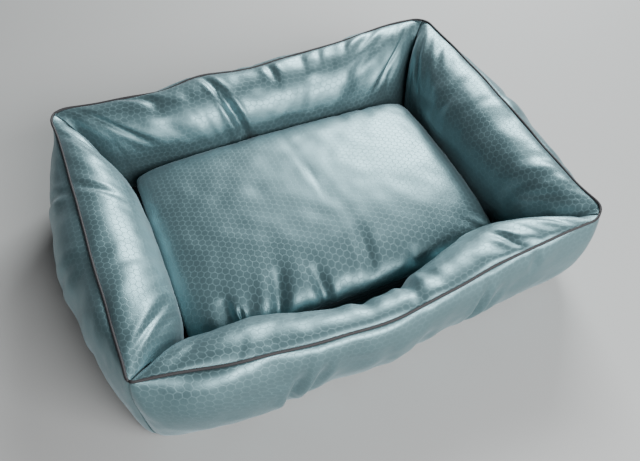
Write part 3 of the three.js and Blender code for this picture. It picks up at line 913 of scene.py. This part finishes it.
def cushion_grid(side):
    """One panel of the pillow, laid out from its seam over its filling."""
    n, m = CUSHION_COLUMNS + 1, CUSHION_ROWS + 1
    u, v = (1 - (1 - np.abs(a)) ** 1.25 for a in (np.linspace(-1, 1, n), np.linspace(-1, 1, m)))
    u, v = np.sign(np.linspace(-1, 1, n)) * u, np.sign(np.linspace(-1, 1, m)) * v
    u, v = np.meshgrid(u, v, indexing="ij")
    seam = CUSHION_SEAM + (ZIP_HEIGHT - CUSHION_SEAM) * ((1 - v) / 2) ** 4
    drop = CUSHION_TOP - CUSHION_SEAM if side > 0 else CUSHION_SEAM - BASE_CLOTH - 0.0008
    corner = 0.009 * (np.abs(u) * np.abs(v)) ** 8
    x = np.zeros((n, m, 3))
    half = CUSHION_HALF - SEAM_INSET
    reach = half[0] - PULL_IN * (1 - v ** 2) * np.abs(u) ** 3
    pressed_u, pressed_v = (np.clip(1.03 * a, -1, 1) for a in (u, v))
    x[..., 0] = pressed_u * reach - np.sign(u) * corner
    x[..., 1] = pressed_v * half[1] - np.sign(v) * corner
    x[..., 2] = seam + side * drop * swell(u, 8.0) * swell(v, np.where(v < 0, 5.0, 9.0))
    if side > 0:
        near_front = np.clip((-v - 0.5) / 0.5, 0, 1)
        x[..., 1] -= FRONT_ROLL * (1 - u ** 2) * near_front * bump(x[..., 2], 0.065, 0.02)
    return x, u, v


def crease_field(x):
    field = np.zeros(x.shape[:2])
    for start, end, width, depth in CREASES:
        a, b = np.array(start), np.array(end)
        d = b - a
        p = x[..., :2] - a
        s = np.clip((p @ d) / (d @ d), 0, 1)
        away = np.linalg.norm(p - s[..., None] * d, axis=2) / (width / 1000)
        valley = (1 - 0.7 * away ** 2) * np.exp(-away ** 2 / 1.5)
        field += depth / 1000 * valley * np.sin(math.pi * np.clip(0.12 + 0.86 * s, 0, 1)) ** 0.8
    return field


def along_zip(x):
    """1 where the zip's tapes are, falling to 0 past their ends."""
    return np.clip((ZIP_REACH - np.abs(x)) / ZIP_FADE, 0, 1)


def settled_cushion(side):
    """One panel of the pillow as settled cloth, gathered a little all round its seam."""
    x, u, v = cushion_grid(side)
    n, m = x.shape[:2]
    edge = np.maximum(np.abs(u), np.abs(v))
    near_edge = np.exp(-((1 - edge) / 0.10) ** 2)
    extra_u = np.full((n - 1, m), 0.010) + 0.03 * (near_edge * (np.abs(v) > np.abs(u)))[:-1]
    extra_v = np.full((n, m - 1), 0.010) + 0.03 * (near_edge * (np.abs(u) > np.abs(v)))[:, :-1]
    free = np.ones((n, m))
    free[0] = free[-1] = 0
    free[:, 0] = free[:, -1] = 0
    out = normals(x) * side
    ripple = noise((n, m), (3, 3)) * 0.0005 + noise((n, m), (30, 3)) * near_edge * 0.0008
    ripple += noise((n, m), (3, 30)) * near_edge * 0.0008 + noise((n, m), (14, 14)) * 0.0016
    if side > 0:
        x = x - out * (crease_field(x) * free)[..., None]
    cloth = Cloth(x, extra_u, extra_v, free, side)
    cloth.x = x + out * (ripple * free)[..., None]
    floor = BASE_CLOTH + 0.0006
    beside_zip = along_zip(x[:, 0, 0])

    def limit(p):
        np.clip(p[..., 0], -CUSHION_HALF[0], CUSHION_HALF[0], out=p[..., 0])
        roll = FRONT_ROLL * (1 - (p[..., 0] / ROLL_REACH) ** 2)
        front = CUSHION_HALF[1] + np.where(p[..., 2] > ZIP_TOP, roll, 0)
        behind = np.clip((TAPES_REACH - np.abs(p[..., 2] - ZIP_HEIGHT)) / TAPES_FADE, 0, 1)
        front -= TAPES_DEPTH * along_zip(p[..., 0]) * behind
        np.clip(p[..., 1], -front, CUSHION_HALF[1], out=p[..., 1])
        p[..., 2] = np.maximum(p[..., 2], floor)
        for edge_line in ((slice(0, 1), slice(None)), (slice(n - 1, n), slice(None)),
                          (slice(None), slice(0, 1)), (slice(None), slice(m - 1, m))):
            p[edge_line] = x[edge_line]
        if side > 0:
            for row, height in UPPER_TAPE_ROWS:
                p[:, row, 1] += beside_zip * (UPPER_TAPE_BACK - p[:, row, 1])
                p[:, row, 2] += beside_zip * (height - p[:, row, 2])

    cloth.settle(steps=160, pressure=0.00012, back=0.03, stiffness=0.2, limit=limit)
    cloth.x += out * (noise((n, m), (4, 4)) * 0.00032 * free)[..., None]
    limit(cloth.x)
    uv = np.stack([v * CUSHION_FLAT[1] / 2, u * CUSHION_FLAT[0] / 2], 2)
    return cloth.x, uv


def add_cushion():
    panels = {}
    for side, word in ((1, "top"), (-1, "bottom")):
        x, uv = settled_cushion(side)
        if side < 0:
            x, uv = x[::-1], uv[::-1]
        obj = cloth_object(f"cushion_{word}_cloth", x, uv)
        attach(give(obj, SATIN), "cushion")
        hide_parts(f"cushion_{word}_panel")
        panels[word] = x if side > 0 else x[::-1]
    top, bottom = panels["top"], panels["bottom"]
    core = np.concatenate([top[:, 1:-1], bottom[:, 1:-1][:, ::-1]], 1)
    fibre = padding_object("cushion_fibre", core, 0.9)
    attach(give(fibre, FIBRE), "cushion")
    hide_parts("cushion_filling")


add_cushion()

# ---- The zip ------------------------------------------------------------------------------------


def add_tape(name, node_name):
    """A woven strip beside the coil, with its ribbed weave and slightly waved free edge."""
    (x0, y0, z0), (x1, y1, z1) = (np.array(p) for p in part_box(node_name))
    n, m = 161, 9
    u, v = np.meshgrid(np.linspace(0, 1, n), np.linspace(0, 1, m), indexing="ij")
    wave = noise((n, 1), (10, 0)) * 0.00012
    rib = 0.00008 * np.cos(v * 2 * math.pi * 4)
    along, up = u * (x1 - x0), v * (z1 - z0)
    front = np.stack([x0 + along, np.full_like(u, y0 + 0.0002) + wave + rib, z0 + up], 2)
    obj = cloth_object(name, front, np.stack([along, up], 2), 0.0005)
    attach(give(obj, TAPE), "cushion")
    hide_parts(node_name)


def add_coil():
    """The two rows of nylon turns, locked into one another along the zip's middle."""
    low, high = (np.array(p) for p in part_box("zip_coil"))
    pitch = 0.0016
    middle = (low + high) / 2
    reach = (high[2] - low[2]) / 2 - 0.0004
    parts = []
    angle = np.linspace(-0.75 * math.pi, 0.75 * math.pi, 9)
    count = int((high[0] - low[0] - pitch) / pitch)
    for k in range(count):
        for side in (-1, 1):
            x = low[0] + pitch * (k + (0.75 if side > 0 else 0.25)) + 0.0002
            z = middle[2] + side * (reach * 0.5 - reach * 0.62 * np.cos(angle) * 0.8 + reach * 0.03)
            y = middle[1] + 0.0005 * np.sin(angle)
            parts.append(tube_parts(np.stack([np.full(9, x), y, z], 1), 0.00028, 5))
    for side in (-1, 1):
        line = np.linspace(low[0] + 0.0004, high[0] - 0.0004, 60)
        cord = np.stack([line, np.full(60, middle[1]), np.full(60, middle[2] + side * reach * 0.86)], 1)
        parts.append(tube_parts(cord, 0.00035, 6))
    obj = joined("zip_coil_turns", parts)
    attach(give(obj, COIL), "cushion")
    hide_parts("zip_coil")


def slider_outline(low, high):
    """The slider's plate seen from the front: a waisted shield, in the X and Z of its box."""
    shape = [(0, 0.5), (0.06, 0.86), (0.22, 1.0), (0.45, 0.9), (0.7, 0.97), (0.93, 0.84), (1, 0.62)]
    points = shape + [(a, 1 - b) for a, b in reversed(shape[1:])]
    return [(low[0] + a * (high[0] - low[0]), low[2] + b * (high[2] - low[2])) for a, b in points]


def plate(outline, y0, y1):
    """A flat plate of a given outline in X and Z, from y0 to y1."""
    n = len(outline)
    verts = [(x, y0, z) for x, z in outline] + [(x, y1, z) for x, z in outline]
    faces = [tuple(range(n)), tuple(reversed(range(n, 2 * n)))]
    faces += [(k, k + n, (k + 1) % n + n, (k + 1) % n) for k in range(n)]
    return verts, faces


def add_slider():
    low, high = (np.array(p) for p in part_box("zip_slider"))
    thick = 0.0011
    outline = slider_outline(low, high)
    middle = (low + high) / 2
    post = [(middle[0] + dx, middle[2] + dz) for dx, dz in
            ((-0.0035, -0.0008), (-0.0015, -0.0014), (0.0005, -0.0008), (0.0005, 0.0008),
             (-0.0015, 0.0014), (-0.0035, 0.0008))]
    # An arch over the pull's end bar, the same on both sides of the pull's pivot.
    arch = ((-0.0022, 0.0), (-0.0018, 0.0009), (-0.0010, 0.0016), (0.0, 0.0018),
            (0.0010, 0.0016), (0.0018, 0.0009), (0.0022, 0.0))
    face = low[1] + 0.0028
    line = np.array([(middle[0] + dx, face - rise, middle[2]) for dx, rise in arch])
    parts = [plate(outline, face, face + thick), plate(outline, high[1] - thick, high[1]),
             plate(post, face + thick, high[1] - thick),
             tube_parts(even_points(line, 0.0004), 0.0006, 8)]
    obj = joined("zip_slider_body", parts)
    soft = obj.modifiers.new("rounded", "BEVEL")
    soft.width, soft.segments = 0.00018, 2
    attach(give(obj, METAL), "slider")
    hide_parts("zip_slider")


def add_pull():
    """The pull: a long rounded tab with an eye at the slider and a raised grip at its end."""
    low, high = (np.array(p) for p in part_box("zip_pull"))
    length, width = high[0] - low[0], high[2] - low[2]
    middle = (low + high) / 2
    n = 40
    angle = np.linspace(0, 2 * math.pi, n, endpoint=False)
    along = np.cos(angle)
    taper = 0.72 + 0.28 * np.clip((0.3 - along) / 0.9, 0, 1)
    shape = np.sign(np.sin(angle)) * np.abs(np.sin(angle)) ** 0.55
    outer = np.stack([middle[0] + along * length / 2, middle[2] + shape * width / 2 * taper], 1)
    hole_at = high[0] - 0.0026
    hole = np.stack([hole_at + 0.0013 * np.cos(angle), middle[2] + 0.0011 * np.sin(angle)], 1)
    y0, y1 = middle[1] - 0.00035, middle[1] + 0.00035
    verts = [(x, y, z) for y in (y0, y1) for ring in (outer, hole) for x, z in ring]
    faces = []
    for j in range(n):
        k = (j + 1) % n
        faces += [(j, n + j, n + k, k), (2 * n + k, 3 * n + k, 3 * n + j, 2 * n + j),
                  (j, k, 2 * n + k, 2 * n + j), (n + k, n + j, 3 * n + j, 3 * n + k)]
    grip = [tube_parts([(low[0] + 0.0022 + 0.0014 * i, middle[1], middle[2] + dz)
                        for dz in (-0.0013, 0, 0.0013)], 0.00045, 8) for i in range(3)]
    obj = joined("zip_pull_tab", [(verts, faces)] + grip)
    soft = obj.modifiers.new("rounded", "BEVEL")
    soft.width, soft.segments, soft.limit_method = 0.00015, 2, "ANGLE"
    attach(give(obj, METAL), "pull")
    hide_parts("zip_pull")


def add_zip_stitches():
    """The two rows of stitches that hold the tapes to the pillow, near their outer edges."""
    (x0, y0, _), (x1, _, _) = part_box("zip_upper_tape")
    parts = []
    for side in (-1, 1):
        points = np.arange(x0 + 0.003, x1 - 0.003, STITCH_STEP)
        line = np.stack([points, np.full_like(points, y0 + 0.0001),
                         np.full_like(points, ZIP_HEIGHT + side * 0.0068)], 1)
        parts += [stitch(a + (b - a) * 0.14, a + (b - a) * 0.86, np.array([0, -1.0, 0]), 0.00028, 0.0003)
                  for a, b in zip(line[:-1], line[1:])]
    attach(give(joined("zip_stitches", parts), THREAD), "cushion")


add_tape("zip_upper_cloth", "zip_upper_tape")
add_tape("zip_lower_cloth", "zip_lower_tape")
add_zip_stitches()
add_coil()
add_slider()
add_pull()

# ---- Stage --------------------------------------------------------------------------------------


def add_stage():
    size = 30
    floor = mesh_object("floor", [(-size, -size, 0), (size, -size, 0), (size, size, 0), (-size, size, 0)],
                        [(0, 1, 2, 3)])
    floor.location.z = -0.0004
    material, _, shader = new_material("pale_floor")
    shader.inputs["Base Color"].default_value = (0.40, 0.393, 0.383, 1)
    shader.inputs["Roughness"].default_value = 0.7
    give(floor, material)


def add_light(name, at, target, size, power, colour):
    data = bpy.data.lights.new(name, "AREA")
    data.shape = "RECTANGLE"
    data.size, data.size_y = size
    data.energy = power
    data.color = colour
    light = bpy.data.objects.new(name, data)
    bpy.context.scene.collection.objects.link(light)
    light.location = at
    light.rotation_euler = (Vector(target) - Vector(at)).to_track_quat("-Z", "Y").to_euler()


CAMERA_AT = (-0.2726, -0.7401, 0.8562)
CAMERA_ANGLES = (-21.14, 47.40, -1.93)  # azimuth, elevation and roll, in degrees
SENSOR, LENS = 36, 39.54375  # millimetres


def add_camera():
    data = bpy.data.cameras.new("camera")
    data.sensor_width, data.lens = SENSOR, LENS
    camera = bpy.data.objects.new("camera", data)
    bpy.context.scene.collection.objects.link(camera)
    azimuth, elevation, roll = (math.radians(a) for a in CAMERA_ANGLES)
    back = Vector((math.sin(azimuth) * math.cos(elevation), -math.cos(azimuth) * math.cos(elevation),
                   math.sin(elevation)))
    turn = back.to_track_quat("Z", "Y").to_matrix().to_4x4() @ Matrix.Rotation(roll, 4, "Z")
    camera.matrix_world = Matrix.Translation(CAMERA_AT) @ turn
    bpy.context.scene.camera = camera


add_stage()
add_light("window", (1.65, 2.05, 1.70), (0, 0, 0.05), (1.4, 0.85), 150, (0.92, 0.98, 1.0))
add_light("room", (0.55, -1.95, 1.45), (0, 0.15, 0.05), (1.8, 1.0), 118, (0.95, 0.98, 1.0))
world = bpy.data.worlds.new("world")
bpy.context.scene.world = world
world.use_nodes = True
world.node_tree.nodes["Background"].inputs[0].default_value = (0.85, 0.9, 0.95, 1)
world.node_tree.nodes["Background"].inputs[1].default_value = 0.06
add_camera()
